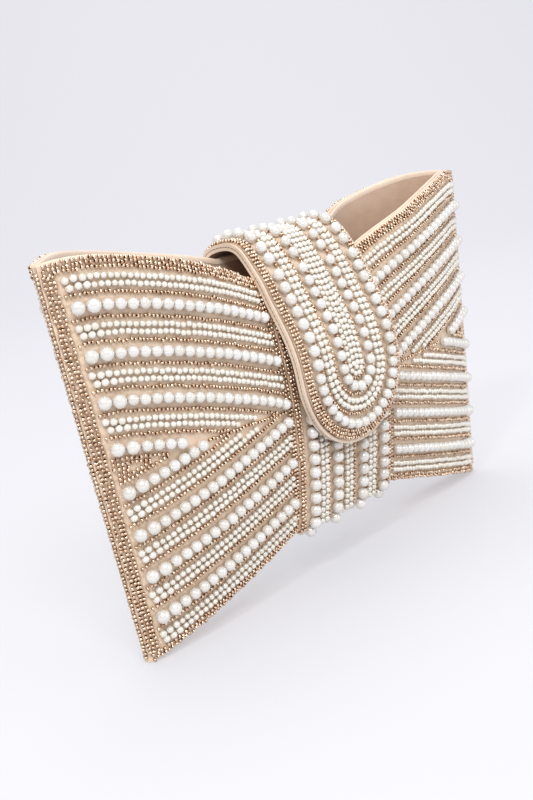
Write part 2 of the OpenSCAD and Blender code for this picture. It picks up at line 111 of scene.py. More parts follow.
def panel_depth(x, z, side):
    """Distance of the satin from the plane of the side seams: it fills out from the side seam and
    from the base, and is pinched or opened towards the mouth."""
    half = side_x(z)
    p = np.clip((half - np.abs(x)) / (half - half_knot), 0, 1)
    q = np.clip((z - base_z(x)) / (mouth_z(x, side) - base_z(x)), 0, 1)
    rise = 0.53 + 0.47 * (1 - (1 - np.minimum(q / 0.6, 1)) ** 2)
    knot, wing = mouth_fullness[side]
    share = knot + (wing - knot) * soft_step((np.abs(x) - half_knot - 0.001) / gather_run)
    lean = 1 + (share - 1) * np.clip((q - 0.5) / 0.5, 0, 1) ** 2
    return seam_half + (fullest - seam_half) * (1 - (1 - p) ** fill_power) * rise * lean


def on_panel(x, z, side, out=0.0):
    """Points at a distance out above the satin, and the satin's outward normals there."""
    x, z = np.broadcast_arrays(np.asarray(x, float), np.asarray(z, float))
    step = 4e-4
    gx = (panel_depth(x + step, z, side) - panel_depth(x - step, z, side)) / (2 * step)
    gz = (panel_depth(x, z + step, side) - panel_depth(x, z - step, side)) / (2 * step)
    normal = np.stack([-gx, np.full(x.shape, float(side)), -gz], -1)
    normal = unit(normal)
    point = np.stack([x, seam_y + side * panel_depth(x, z, side), z], -1)
    return point + np.asarray(out)[..., None] * normal, normal


def panel_grid(side, depth, across, up, span=1.0, foot=0.00085, head=0.00005):
    """Points of one layer of a panel, at a share of the wall's depth inwards from its satin."""
    s = np.linspace(-span, span, across + 1)[:, None]
    t = np.linspace(0, 1, up + 1)[None, :]
    low = base_z(s * half_base) + foot
    high = mouth_z(s * half_top, side) - head
    x = s * (half_base + (half_top - half_base) * t)
    z = low + (high - low) * t
    d = panel_depth(x, z, side)
    y = seam_y + side * (d - depth * np.minimum(wall, d - 0.00075))
    return np.stack([x, y, z], -1)


def mesh_piece(name, points, quads, triangles=None, crease=50):
    """A new object at the origin from arrays of points and faces, smooth up to an angle."""
    triangles = np.zeros((0, 3), int) if triangles is None else triangles
    mesh = bpy.data.meshes.new(name)
    sizes = np.r_[np.full(len(quads), 4), np.full(len(triangles), 3)]
    mesh.vertices.add(len(points))
    mesh.vertices.foreach_set("co", np.ascontiguousarray(points, np.float32).ravel())
    mesh.loops.add(int(sizes.sum()))
    mesh.loops.foreach_set("vertex_index", np.r_[quads.ravel(), triangles.ravel()].astype(np.int32))
    mesh.polygons.add(len(sizes))
    mesh.polygons.foreach_set("loop_start", np.r_[0, np.cumsum(sizes)[:-1]].astype(np.int32))
    mesh.update(calc_edges=True)
    mesh.validate()
    mesh.shade_smooth()
    if crease:
        mesh.set_sharp_from_angle(angle=np.radians(crease))
    piece = bpy.data.objects.new(name, mesh)
    bpy.context.collection.objects.link(piece)
    return piece


def cloth_map(piece, uv):
    """Gives each point its place on the flat cloth, in metres, as the UV map named cloth."""
    layer = piece.data.uv_layers.new(name="cloth")
    corner = np.zeros(len(piece.data.loops), np.int32)
    piece.data.loops.foreach_get("vertex_index", corner)
    layer.data.foreach_set("uv", np.ascontiguousarray(uv, np.float32)[corner].ravel())


def slab(name, outer, inner, uv=None):
    """A closed sheet between two grids of points, its faces pointing away from its middle."""
    n, m = outer.shape[:2]
    at = np.arange(n * m).reshape(n, m)
    face = np.stack([at[:-1, :-1], at[1:, :-1], at[1:, 1:], at[:-1, 1:]], -1).reshape(-1, 4)
    rim = np.r_[at[:, 0], at[-1, 1:], at[-2::-1, -1], at[0, -2:0:-1]]
    after = np.roll(rim, -1)
    edge = np.stack([after, rim, rim + n * m, after + n * m], -1)
    quads = np.r_[face, face[:, ::-1] + n * m, edge]
    points = np.r_[outer.reshape(-1, 3), inner.reshape(-1, 3)]
    middle = (n // 2, m // 2)
    a, b = outer[middle], outer[middle[0] + 1, middle[1]]
    c, d = outer[middle[0], middle[1] + 1], inner[middle]
    if np.dot(np.cross(b - a, c - a), a - d) < 0:
        quads = quads[:, ::-1]
    piece = mesh_piece(name, points, quads)
    flat = outer[..., [0, 2]] if uv is None else uv
    cloth_map(piece, np.r_[flat.reshape(-1, 2), flat.reshape(-1, 2)])
    return piece


def cloth_area(grid):
    """Area of a grid of points, as the sum of its cells' diagonal cross products."""
    a, b = grid[1:, 1:] - grid[:-1, :-1], grid[:-1, 1:] - grid[1:, :-1]
    return float(np.linalg.norm(np.cross(a, b), axis=-1).sum() / 2)


def connect(node, **inputs):
    """Sets or links a node's inputs. _0 is its first input, and names have _ for each space."""
    for key, value in inputs.items():
        socket = node.inputs[int(key[1:])] if key[1:].isdigit() else node.inputs[key.replace("_", " ")]
        if isinstance(value, bpy.types.Node):
            value = value.outputs[0]
        if isinstance(value, bpy.types.NodeSocket):
            node.id_data.links.new(value, socket)
        else:
            socket.default_value = value


def node_maker(tree):
    """Returns a short way to add a shader node with its operation or settings and its inputs."""

    def add(kind, settings=(), **inputs):
        node = tree.nodes.new("ShaderNode" + kind)
        if isinstance(settings, str):
            settings = {"operation": settings}
        for key, value in dict(settings).items():
            setattr(node, key, value)
        connect(node, **inputs)
        return node

    return add


def new_material(name):
    """A new material, the way to add nodes to it, and its surface shader."""
    material = bpy.data.materials.new(name)
    material.use_nodes = True
    return material, node_maker(material.node_tree), material.node_tree.nodes["Principled BSDF"]


def effect_group(name, inputs, outputs):
    """A shader node group with named sockets, and its group input and output nodes."""
    group = bpy.data.node_groups.new(name, "ShaderNodeTree")
    for socket, kind, value in inputs:
        made = group.interface.new_socket(socket, in_out="INPUT", socket_type="NodeSocket" + kind)
        if value is not None:
            made.default_value = value
    for socket, kind in outputs:
        group.interface.new_socket(socket, in_out="OUTPUT", socket_type="NodeSocket" + kind)
    return group, group.nodes.new("NodeGroupInput"), group.nodes.new("NodeGroupOutput")


def satin_weave_group():
    """Long warp floats as streaks drawn out along the cloth, over broad soft creases."""
    group, given, result = effect_group(
        "satin weave",
        [("Cloth", "Vector", None), ("Threads", "Float", 6000.0), ("Crease", "Float", 0.0002)],
        [("Streak", "Float"), ("Height", "Float")],
    )
    add, cloth = node_maker(group), given.outputs["Cloth"]
    stretch = add("CombineXYZ", X=given.outputs["Threads"], Y=900.0, Z=1.0)
    drawn = add("VectorMath", "MULTIPLY", _0=cloth, _1=stretch)
    floats = add("TexNoise", Vector=drawn, Scale=1.0, Detail=1.0)
    broad = add("TexNoise", Vector=cloth, Scale=95.0, Detail=2.0)
    crease = add("Math", "MULTIPLY", _0=broad, _1=given.outputs["Crease"])
    thread = add("Math", "MULTIPLY", _0=floats, _1=0.00003)
    height = add("Math", "ADD", _0=crease, _1=thread)
    connect(result, Streak=floats, Height=height)
    return group


satin_weave = satin_weave_group()


def satin(name, dark, light, roughness=0.42, threads=6000.0, crease=0.0002, sheen=0.25, rows=False):
    """Satin: streaked between two tones along its floats, with a thread and crease bump."""
    material, add, shader = new_material(name)
    cloth = add("UVMap", {"uv_map": "cloth"})
    weave = add("Group", {"node_tree": satin_weave}, Cloth=cloth, Threads=threads, Crease=crease)
    patch = add("TexNoise", Vector=cloth, Scale=60.0, Detail=3.0)
    tone = add("Math", "MULTIPLY_ADD", _0=weave.outputs["Streak"], _1=0.8, _2=-0.35)
    mixed = add("Math", "ADD", _0=tone, _1=patch)
    colour = add("Mix", {"data_type": "RGBA"}, _0=mixed, _6=(*dark, 1), _7=(*light, 1))
    connect(shader, Base_Color=colour.outputs[2])
    height = weave.outputs["Height"]
    if rows:
        swell = add("Attribute", {"attribute_name": "swell"})
        pulled = add("Math", "MULTIPLY_ADD", _0=swell.outputs["Fac"], _1=-0.0002, _2=height)
        height = pulled.outputs[0]
    bump = add("Bump", Height=height, Distance=1.0, Strength=1.0)
    connect(shader, Normal=bump)
    connect(shader, Roughness=roughness, Sheen_Weight=sheen, Sheen_Roughness=0.4, Anisotropic=0.5)
    return material


def dress(piece, material, body, slot, *nodes):
    """Gives a piece its material, the body it rides on and the CAD nodes it stands for. Its slot is not used."""
    piece.data.materials.append(material)
    if body:
        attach(piece, body)
    if nodes:
        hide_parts(*nodes)
    return piece


pitch = 0.00925
lean = 1.03
first_row = 0.0073
rows = 16


def row_z(k, x, side, upper):
    """Height of row k, counted from the mouth: the upper half follows the mouth, the lower the base."""
    if upper:
        return mouth_z(x, side) - (first_row + pitch * (k - 1)) * lean
    return base_z(x) + (first_row + pitch * (rows - k)) * lean


def meeting_z(x, side):
    """Height at which the rows that follow the mouth meet those that follow the base."""
    return (row_z(rows / 2, x, side, True) + row_z(rows / 2 + 1, x, side, False)) / 2


embroidered_satin = satin("embroidered satin", satin_colour, satin_light, rows=True)
panels = {}
for side, label in sides:
    outer = panel_grid(side, 0.0, 220, 120)
    inner = panel_grid(side, 0.19, 220, 120)
    piece = slab(label + "_panel_satin", outer, inner)
    x, z = outer[..., 0], outer[..., 2]
    gap = z - meeting_z(x, side)
    from_mouth = 1 + ((mouth_z(x, side) - z) / lean - first_row) / pitch
    from_base = rows - ((z - base_z(x)) / lean - first_row) / pitch
    swell = np.cos(4 * np.pi * np.where(gap > 0, from_mouth, from_base)) * soft_step(np.abs(gap) / 0.004)
    made = piece.data.attributes.new("swell", "FLOAT", "POINT")
    made.data.foreach_set("value", np.r_[swell.ravel(), swell.ravel()].astype(np.float32))
    dress(piece, embroidered_satin, "bag", "satin", label + "_satin")
    panels[side] = piece


# ---- Wadding of the panels ----
# Felted white wadding, about 3 mm thick, quilted to the back of each satin. It gives the panels
# their body and stops short of the side seams.


def felt(name, colour):
    """Pressed fibre: mottled tone and a fine fuzzy bump."""
    material, add, shader = new_material(name)
    place = add("TexCoord")
    fibre = add("TexNoise", Vector=place.outputs["Object"], Scale=900.0, Detail=4.0)
    dark = tuple(0.8 * c for c in colour)
    tone = add("Mix", {"data_type": "RGBA"}, _0=fibre, _6=(*dark, 1), _7=(*colour, 1))
    bump = add("Bump", Height=fibre, Distance=0.0003, Strength=0.6)
    connect(shader, Base_Color=tone.outputs[2], Normal=bump, Roughness=0.95)
    return material


wadding = felt("wadding", (0.86, 0.84, 0.80))
for side, label in sides:
    piece = slab(
        label + "_wadding",
        panel_grid(side, 0.21, 90, 50, span=0.955),
        panel_grid(side, 0.84, 90, 50, span=0.955),
    )
    dress(piece, wadding, "bag", "padding", label + "_padding")


# ---- Linings ----
# Chestnut brown satin, cut like the panels and sewn in under the mouth's binding. It hangs a
# little slack, so it ripples between the seams.

lining_satin = satin("lining satin", (0.40, 0.26, 0.175), (0.58, 0.42, 0.31), 0.36, 5000.0, 0.0006)
for side, label in sides:
    near = panel_grid(side, 0.86, 150, 80, span=0.96)
    far = panel_grid(side, 1.0, 150, 80, span=0.96)
    ripple = 0.0004 * (np.sin(far[..., 0] * 190 + 1.3) + 0.6 * np.sin(far[..., 2] * 260 + far[..., 0] * 70))
    hang = np.sin(np.linspace(0, np.pi, 81))[None, :]
    far[..., 1] -= side * (0.0004 + ripple) * hang
    piece = slab(label + "_lining_satin", far, near)
    dress(piece, lining_satin, "bag", "lining", label + "_lining")


# ---- Slip pocket ----
# A flat pocket of the lining satin, stitched to the back lining down its sides and foot, with a
# turned hem along its open top edge.

pocket_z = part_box("slip_pocket")[0][2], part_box("slip_pocket")[1][2]
pocket_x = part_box("slip_pocket")[1][0]
s = np.linspace(-1, 1, 61)[:, None] * pocket_x
t = np.linspace(0, 1, 31)[None, :]
px, pz = np.broadcast_arrays(s, pocket_z[0] + 0.006 + (pocket_z[1] - pocket_z[0] - 0.012) * t)
hem = 0.0004 * (t > 0.86) + 0.0002 * np.sin(np.pi * t)
depth = panel_depth(px, pz, BACK) - wall - 0.0012
pocket_out = np.stack([px, seam_y + depth - 0.0010 - hem, pz], -1)
pocket_in = np.stack([px, seam_y + depth - 0.0003 + 0 * hem, pz], -1)
pocket = slab("pocket_satin", pocket_out, pocket_in)
dress(pocket, lining_satin, "bag", "lining", "slip_pocket")


# ---- Base strip and side seams ----
# A strip of plain satin closes the base between the two panels. Down each side the two satins
# meet in a seam with its edges turned in, which shows as a fine rolled edge.

plain_satin = satin("plain satin", satin_colour, satin_light)
s = np.linspace(-1, 1, 161)[:, None] * half_base
edge_depth = panel_depth(s, base_z(s), FRONT) - 0.00005
across_base = np.linspace(-1, 1, 13)[None, :]
sag = 0.0004 * (1 - across_base**2)
strip_low = np.stack(np.broadcast_arrays(s, seam_y + edge_depth * across_base, base_z(s) + 0 * sag), -1)
strip_high = strip_low + np.array([0, 0, 0.0008])
strip_low = strip_low + sag[..., None] * np.array([0, 0, 1.0]) * 0.5
base_piece = slab("base_satin", strip_low, strip_high, uv=strip_low[..., :2])
dress(base_piece, plain_satin, "bag", "binding", "base_strip")


def tube_faces(n, m, closed_ends=True):
    """Quads of a tube of n rings of m points, and the two fans of triangles that close it."""
    ring, spot = np.meshgrid(np.arange(n - 1), np.arange(m), indexing="ij")
    a, b = ring * m + spot, ring * m + (spot + 1) % m
    quads = np.stack([a, b, b + m, a + m], -1).reshape(-1, 4)
    if not closed_ends:
        return quads, np.zeros((0, 3), int)
    k = np.arange(1, m - 1)
    first = np.stack([0 * k, k + 1, k], -1)
    last = (n - 1) * m + np.stack([0 * k, k, k + 1], -1)
    return quads, np.r_[first, last]


def swept(name, path, across, out, profile, uv_width=0.01):
    """A profile of (across, out) points carried along a path, closed at both ends."""
    points = path[:, None] + profile[..., :1] * across[:, None] + profile[..., 1:] * out[:, None]
    n, m = points.shape[:2]
    quads, fans = tube_faces(n, m)
    along = np.gradient(path, axis=0)
    if np.mean(np.sum(np.cross(across, out) * along, -1)) < 0:
        quads, fans = quads[:, ::-1], fans[:, ::-1]
    turning = np.sign(np.sum(np.cross(profile[0], np.roll(profile[0], -1, 0))))
    if turning < 0:
        quads, fans = quads[:, ::-1], fans[:, ::-1]
    piece = mesh_piece(name, points.reshape(-1, 3), quads, fans)
    length = np.r_[0, np.cumsum(np.linalg.norm(np.diff(path, axis=0), axis=1))]
    v = np.broadcast_to(np.linspace(0, uv_width, m), (n, m))
    cloth_map(piece, np.stack([v, np.broadcast_to(length[:, None], (n, m))], -1).reshape(-1, 2))
    return piece


turn = np.linspace(0, 2 * np.pi, 13)[:-1]
for hand, label in hands:
    z = np.linspace(0.0006, corner_height - 0.0003, 120)
    path = np.stack([hand * (side_x(z) - 0.0009), np.full(120, seam_y), z], -1)
    roll = np.stack([0.0013 * np.cos(turn), 0.0009 * np.sin(turn)], -1)
    across = np.tile([0.0, 1.0, 0.0], (120, 1))
    out = np.tile([float(hand), 0.0, 0.0], (120, 1))
    piece = swept(label + "_side_seam", path, across, out, np.tile(roll, (120, 1, 1)))
    dress(piece, plain_satin, "bag", "binding", "side_seams")


# ---- Piped binding of the mouth ----
# The top of each padded panel is bound with satin over two fine cords, so its edge shows two
# rounded ridges side by side with a groove between them.


def stitched_and_shaded_satin(name, dark, light):
    """Binding satin with painted shade in the groove between its two cords, and fine dark stitches crossing the
    groove.
    """
    material = satin(name, dark, light, 0.34, 5000.0, 0.0001, 0.35)
    add = node_maker(material.node_tree)
    shader = material.node_tree.nodes["Principled BSDF"]
    cloth = add("UVMap", {"uv_map": "cloth"})
    place = add("SeparateXYZ", _0=cloth)
    off = add("Math", "SUBTRACT", _0=place, _1=0.0050)
    gap = add("Math", "ABSOLUTE", _0=off)
    # painted shade: the groove between the cords is darkened in colour to stand for the shade in its recess
    groove = add("MapRange", _0=gap, _1=0.0003, _2=0.0010, _3=1.0, _4=0.0)
    run = add("Math", "MULTIPLY", _0=place.outputs[1], _1=2 * np.pi / 0.0021)
    stitch = add("Math", "SINE", _0=run)
    # at each stitch the full dark is the dark thread; between stitches 55% of the dark stays on as painted groove
    # shade
    thread = add("MapRange", _0=stitch, _1=-0.2, _2=0.2, _3=1.0, _4=0.55)
    depth = add("Math", "MULTIPLY", _0=groove, _1=thread)
    before = shader.inputs["Base Color"].links[0].from_socket
    # mixes the painted groove shade and the dark stitches into the satin's colour
    groove_shade_and_stitches = add("Mix", {"data_type": "RGBA"}, _0=depth, _6=before, _7=(0.13, 0.075, 0.045, 1))
    connect(shader, Base_Color=groove_shade_and_stitches.outputs[2])
    return material


binding_satin = stitched_and_shaded_satin("binding satin", (0.62, 0.47, 0.35), (0.84, 0.69, 0.55))


def double_piping(width, height, foot):
    """Profile of two round ridges with a flat groove between them, on a foot: (across, out) points."""
    turn = np.linspace(0, np.pi, 9)
    lobe = np.stack([0.21 - 0.21 * np.cos(turn), 0.3 + 0.7 * np.sin(turn)], -1)
    shape = np.r_[[[0.0, 0.0]], lobe, lobe + [0.58, 0.0], [[1.0, 0.0]]]
    width, height = np.atleast_1d(width)[:, None], np.atleast_1d(height)[:, None]
    return np.stack([shape[:, 0] * width, shape[:, 1] * (height + foot) - foot], -1)


for side, label in sides:
    x = np.linspace(-half_top, half_top, 321)
    z = mouth_z(x, side)
    d = panel_depth(x, z, side)
    width = np.minimum(wall, d - 0.00075) + 0.0002
    path = np.stack([x, seam_y + side * (d + 0.0001), z], -1)
    across = np.tile([0.0, -float(side), 0.0], (321, 1))
    out = np.tile([0.0, 0.0, 1.0], (321, 1))
    profile = double_piping(width, np.full(321, 0.0022), 0.0004)
    piece = swept(label + "_mouth_piping", path, across, out, profile)
    dress(piece, binding_satin, "bag", "binding", label + "_mouth_binding")


# ---- Knot band ----
# A strip of satin wrapped round the bag's waist, down the front, under the base and up the back,
# and sewn at its edges. It gathers the bag into a bow.

band_gap, band_thick = 0.0003, 0.001
mouth_mid = mouth_z(0.0, FRONT)
fold_height = corner_height + corner_rise - mouth_dip + back_rise + 0.0034


def band_path(out):
    """Points (y, z) of the band's side view at a distance from the bag, round corners at its base."""
    low = panel_depth(0.0, base_lift, FRONT)
    down = np.linspace(mouth_mid - 0.001, base_lift, 60)
    up = np.linspace(base_lift, fold_height - 0.016, 60)
    turn = np.radians(np.linspace(180, 270, 14))
    return np.r_[
        np.stack([seam_y - panel_depth(0.0, down, FRONT) - out, down], -1),
        np.stack([seam_y - low + out * np.cos(turn), base_lift + out * np.sin(turn)], -1)[1:],
        np.stack([seam_y + low - out * np.cos(turn[::-1]), base_lift + out * np.sin(turn[::-1])], -1),
        np.stack([seam_y + panel_depth(0.0, up, BACK) + out, up], -1)[1:],
    ]


def path_length(path):
    """Distance along a path to each of its points."""
    return np.r_[0, np.cumsum(np.linalg.norm(np.diff(path, axis=0), axis=1))]


def even(path, count):
    """The same path with its points evenly spaced."""
    length = path_length(path)
    at = np.linspace(0, length[-1], count)
    return np.stack([np.interp(at, length, path[:, k]) for k in range(path.shape[1])], -1)


def across_bag(x, path):
    """A side view carried across the bag: a grid of points over x and the path."""
    grid = np.zeros((len(x), len(path), 3))
    grid[..., 0] = x[:, None]
    grid[..., 1:] = path
    return grid


band_x = np.linspace(-half_knot, half_knot, 41)
outer_path, inner_path = band_path(band_gap + band_thick), band_path(band_gap)
band_outer, band_inner = across_bag(band_x, outer_path), across_bag(band_x, inner_path)
band_l = path_length(outer_path)
band_uv = np.stack(np.broadcast_arrays(band_x[:, None], band_l[None, :]), -1)
band = slab("band_satin", band_outer, band_inner, uv=band_uv)
dress(band, plain_satin, "bag", "satin", "knot_band")


# ---- Flap ----
# One padded strip of satin over stiffening felt, lined in brown. It is sewn to the back, arches
# over the mouth and hangs down the front to a round tip. It bends at the mouth's two edges.

flap_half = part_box("tongue_binding")[1][0]
flap_thick = 0.0031
tip_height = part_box("tongue_binding")[0][2]
front_lift = 0.0105
mouth_lift = flap_thick + band_thick + band_gap + 0.0005
arch_rise, front_drop = 0.0056, 0.011
front_fold_z = mouth_mid + 0.0045


def flap_front_y(z):
    """How far forward the flap's face is at a height on the front."""
    lift = mouth_lift + (front_lift - mouth_lift) * soft_step((mouth_mid + 0.002 - z) / 0.038)
    return seam_y - panel_depth(0.0, z, FRONT) - lift


def flap_back_y(z):
    """How far back the flap's face is at a height on the back."""
    return seam_y + panel_depth(0.0, np.minimum(z, mouth_z(0.0, BACK)), BACK) + band_gap + flap_thick


def corner_cut(path):
    """Replaces each corner of a path by two points, a quarter in from either side."""
    a, b = path[:-1], path[1:]
    cut = np.stack([a + (b - a) / 4, b + (a - b) / 4], 1).reshape(-1, 2)
    return np.r_[path[:1], cut, path[-1:]]


def flap_profile():
    """The flap's side view (y, z): up the back, an arch over the mouth, and down the front."""
    up = np.array([fold_height - 0.015, fold_height - 0.007, fold_height])
    arch_back, arch_front = flap_back_y(fold_height), flap_front_y(mouth_mid)
    arch_y = (arch_back + arch_front) / 2 + 0.0015
    turn = np.radians([25, 50, 75, 100, 125, 150])
    in_front = turn > np.pi / 2
    reach = np.where(in_front, 0.66 * (arch_y - arch_front), arch_back - arch_y)
    drop = np.where(in_front, front_drop, arch_rise)
    arch = np.stack([arch_y + reach * np.cos(turn), fold_height + arch_rise - drop * (1 - np.sin(turn))], -1)
    down = np.linspace(mouth_mid + 0.001, tip_height - 0.006, 11)
    path = np.r_[np.stack([flap_back_y(up), up], -1), arch, np.stack([flap_front_y(down), down], -1)]
    for _ in range(4):
        path = corner_cut(path)
    return even(path, 600)


profile = flap_profile()
profile_l = path_length(profile)
profile_out = np.gradient(profile, profile_l, axis=0)[:, ::-1] * [1, -1]
profile_out = unit(profile_out)
crest = int(np.argmax(profile[:, 1]))
crest_l = profile_l[crest]
back_fold_l = float(np.interp(fold_height, profile[: crest + 1, 1], profile_l[: crest + 1]))


def front_length(z):
    """Distance along the flap to a height on its front."""
    return float(np.interp(-z, -profile[crest:, 1], profile_l[crest:]))


front_fold_l = front_length(front_fold_z)
tip_l = front_length(tip_height)
round_l = tip_l - flap_half


def on_flap(x, l, out=0.0):
    """Points at a distance out above the flap's face, and its outward normals there."""
    x, l, out = np.broadcast_arrays(np.asarray(x, float), np.asarray(l, float), np.asarray(out, float))
    side_view = np.stack([np.interp(l, profile_l, profile[:, k]) for k in (0, 1)], -1)
    normal = np.stack([np.interp(l, profile_l, profile_out[:, k]) for k in (0, 1)], -1)
    normal = unit(normal)
    place = side_view + normal * out[..., None]
    return (
        np.concatenate([x[..., None], place], -1),
        np.concatenate([np.zeros(x.shape + (1,)), normal], -1),
    )


def flap_stretch(l0, l1, inset, count):
    """Lengths down a stretch of the flap, and its half width at each, round at the tip."""
    half = flap_half - inset
    if l1 < tip_l:
        l = np.linspace(l0, l1, count)
        return l, np.full(count, half)
    turn = np.linspace(0, np.pi / 2, 40)[1:]
    straight = np.linspace(l0, round_l, count)
    return (
        np.r_[straight, round_l + half * np.sin(turn)],
        np.r_[np.full(count, half), half * np.maximum(np.cos(turn), 0.004)],
    )


def flap_layer(name, l0, l1, out, inside, inset):
    """One layer of the flap as a closed sheet between two depths."""
    l, half = flap_stretch(l0, l1, inset, 110)
    x = np.linspace(-1, 1, 49)[:, None] * half[None, :]
    flat = np.stack(np.broadcast_arrays(x, l[None, :]), -1)
    outer, _ = on_flap(x, l[None, :], -out)
    inner, _ = on_flap(x, l[None, :], -inside)
    return slab(name, outer, inner, uv=flat), cloth_area(flat_to_3d(flat))


def flat_to_3d(flat):
    """A flat grid with a third coordinate of 0."""
    return np.concatenate([flat, np.zeros(flat.shape[:-1] + (1,))], -1)


def bends(piece, half):
    """Bakes the piece's placement into its points, the same for the flap's back half and its front half."""
    if half == "back":
        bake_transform(piece)
    else:
        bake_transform(piece)
    return piece


board_felt = felt("board felt", (0.80, 0.77, 0.71))
layers = (
    ("satin", plain_satin, "satin", 0.0, 0.0006, 0.0012, ("flap_tail", "bridge_satin"), ("tongue_satin",)),
    ("board", board_felt, "board", 0.0007, 0.0024, 0.0022, ("bridge_board",), ("tongue_board",)),
    ("lining", lining_satin, "lining", 0.0025, 0.0031, 0.0012, ("bridge_lining",), ("tongue_lining",)),
)
for kind, material, slot_name, out, inside, inset, back_nodes, front_nodes in layers:
    for half, l0, l1, nodes in (
        ("back", 0.0, crest_l, back_nodes),
        ("front", crest_l, tip_l, front_nodes),
    ):
        piece, area = flap_layer(f"flap_{kind}_{half}", l0, l1, out, inside, inset)
        dress(piece, material, None, slot_name, *nodes)
        bends(piece, half)


# ---- Piped binding of the flap ----
# The flap's edge is bound like the mouth, with two fine cords under bias-cut satin, all the way
# round from the seam on the back.


def flap_edge(x, l):
    """Path of the flap's edge, with its directions through the flap and out from its side."""
    place, normal = on_flap(x, l, 0.0)
    along = np.gradient(place, axis=0)
    along = unit(along)
    outward = np.cross(along, normal)
    return place, -normal, outward


def edge_piping(name, x, l, flip, nodes, half):
    """Double piping along a stretch of the flap's edge, drawn in so that it hugs the satin."""
    place, inward_dir, outward = flap_edge(x, l)
    outward = outward * flip
    count = len(x)
    shape = double_piping(np.full(count, flap_thick + 0.0001), np.full(count, 0.0006), 0.0012)
    piece = swept(name, place, inward_dir, outward, shape)
    dress(piece, binding_satin, None, "binding", *nodes)
    return bends(piece, half)


up_l = np.linspace(0.0, crest_l, 90)
edge = flap_half - 0.0002
for hand, label in hands:
    edge_piping(f"{label}_flap_piping", np.full(90, hand * edge), up_l, hand, ("bridge_binding",), "back")
down_l = np.linspace(crest_l, round_l, 120)
turn = np.linspace(0, np.pi, 120)[1:-1]
u_x = np.r_[np.full(120, -edge), -edge * np.cos(turn), np.full(120, edge)]
u_l = np.r_[down_l, round_l + edge * np.sin(turn), down_l[::-1]]
edge_piping("tongue_piping", u_x, u_l, -1, ("tongue_binding",), "front")


# ---- Magnetic snap ----
# A pressed brass cup in rose gilt holds a ring magnet, and a brass stud in the tongue drops into
# it. Each half is held by two prongs bent over a steel plate inside the padding.


def metal(name, colour, roughness, brushed=0.0002):
    """Plated metal with fine scratches in its bump and its gloss."""
    material, add, shader = new_material(name)
    place = add("TexCoord")
    spread = add("VectorMath", "MULTIPLY", _0=place.outputs["Object"], _1=(300, 300, 6000))
    scratch = add("TexNoise", Vector=spread, Scale=1.0, Detail=3.0)
    gloss = add("MapRange", _0=scratch, _3=roughness * 0.7, _4=roughness * 1.5)
    bump = add("Bump", Height=scratch, Distance=brushed, Strength=0.15)
    worn = tuple(0.75 * c for c in colour)
    tone = add("Mix", {"data_type": "RGBA"}, _0=scratch, _6=(*worn, 1), _7=(*colour, 1))
    connect(shader, Base_Color=tone.outputs[2], Roughness=gloss, Normal=bump, Metallic=1.0)
    return material


gilt = metal("rose gilt", (0.86, 0.62, 0.47), 0.24)
for nodes, material in (
    (("snap_socket", "snap_stud"), gilt),
    (("snap_magnet",), metal("nickelled magnet", (0.32, 0.32, 0.34), 0.35)),
    (("socket_backplate", "stud_backplate"), metal("steel plate", (0.66, 0.66, 0.67), 0.4)),
):
    for node in nodes:
        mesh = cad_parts[node].data
        mesh.materials.clear()
        mesh.materials.append(material)


# ---- Large pearls of the wings ----
# Ivory glass pearls of 5 mm, threaded and couched down in rows, touching. The two nearest the
# side seam are 6 mm. Half of the rows are of these.

rng = np.random.default_rng(12)
end_pearl, wing_pearl = 0.006, 0.005
pearl_tilt, small_tilt, seed_tilt = 0.12, 0.1, 0.22
end_inset = 0.0095
big_rows = (2, 4, 6, 8, 9, 11, 13, 15)


def ball(segments, bands):
    """A unit ball with its poles on X, as points, quads, triangles and nearness to its hole."""
    tilt = np.linspace(0, np.pi, bands + 1)[1:-1]
    turn = np.linspace(0, 2 * np.pi, segments + 1)[:-1]
    ring = np.stack(
        np.broadcast_arrays(
            np.cos(tilt)[:, None], np.sin(tilt)[:, None] * np.cos(turn), np.sin(tilt)[:, None] * np.sin(turn)
        ),
        -1,
    ).reshape(-1, 3)
    quads, _ = tube_faces(bands - 1, segments, closed_ends=False)
    k, last = np.arange(segments), (bands - 2) * segments
    pole, foot = len(ring), len(ring) + 1
    first = np.stack([np.full(segments, pole), (k + 1) % segments, k], -1)
    end = np.stack([np.full(segments, foot), last + k, last + (k + 1) % segments], -1)
    points = np.r_[ring, [[0.97, 0, 0]], [[-0.97, 0, 0]]]
    # hole marks 1 at the two poles, where the pearl material paints the hole's shade
    hole = np.r_[np.zeros(len(ring)), 1, 1]
    return points, quads, np.r_[first, end], hole


def bead_piece(name, shape, strings, tilt=0.0):
    """All the beads of several strings as one piece. Each string holds centres, the thread's
    directions, outward normals and diameters. A random tone for each bead goes in an attribute."""
    points, quads, fans, hole = shape
    centre, along, out, size = (np.concatenate(part) for part in zip(*strings))
    count = len(size)
    along = along + rng.normal(0, tilt, along.shape)
    along = unit(along)
    out = out - np.sum(out * along, 1, keepdims=True) * along
    out = unit(out)
    axes = np.stack([along, out, np.cross(along, out)], 1)
    placed = centre[:, None] + np.einsum("pk,nkj->npj", points, axes) * size[:, None, None] / 2
    step = np.arange(count)[:, None, None] * len(points)
    all_quads = (quads + step).reshape(-1, 4)
    all_fans = (fans + step).reshape(-1, 3) if len(fans) else None
    piece = mesh_piece(name, placed.reshape(-1, 3), all_quads, all_fans, crease=0)
    tone = np.repeat(rng.random(count), len(points))
    for attribute, values in (("tone", tone), ("hole", np.tile(hole, count))):
        made = piece.data.attributes.new(attribute, "FLOAT", "POINT")
        made.data.foreach_set("value", values.astype(np.float32))
    return piece


def beads(name, kind, strings, body, *nodes):
    """Beads of one kind on a body. A kind is a shape, a tilt, a material and a slot."""
    shape, tilt, material, slot = kind
    return dress(bead_piece(name, shape, strings, tilt), material, body, slot, *nodes)


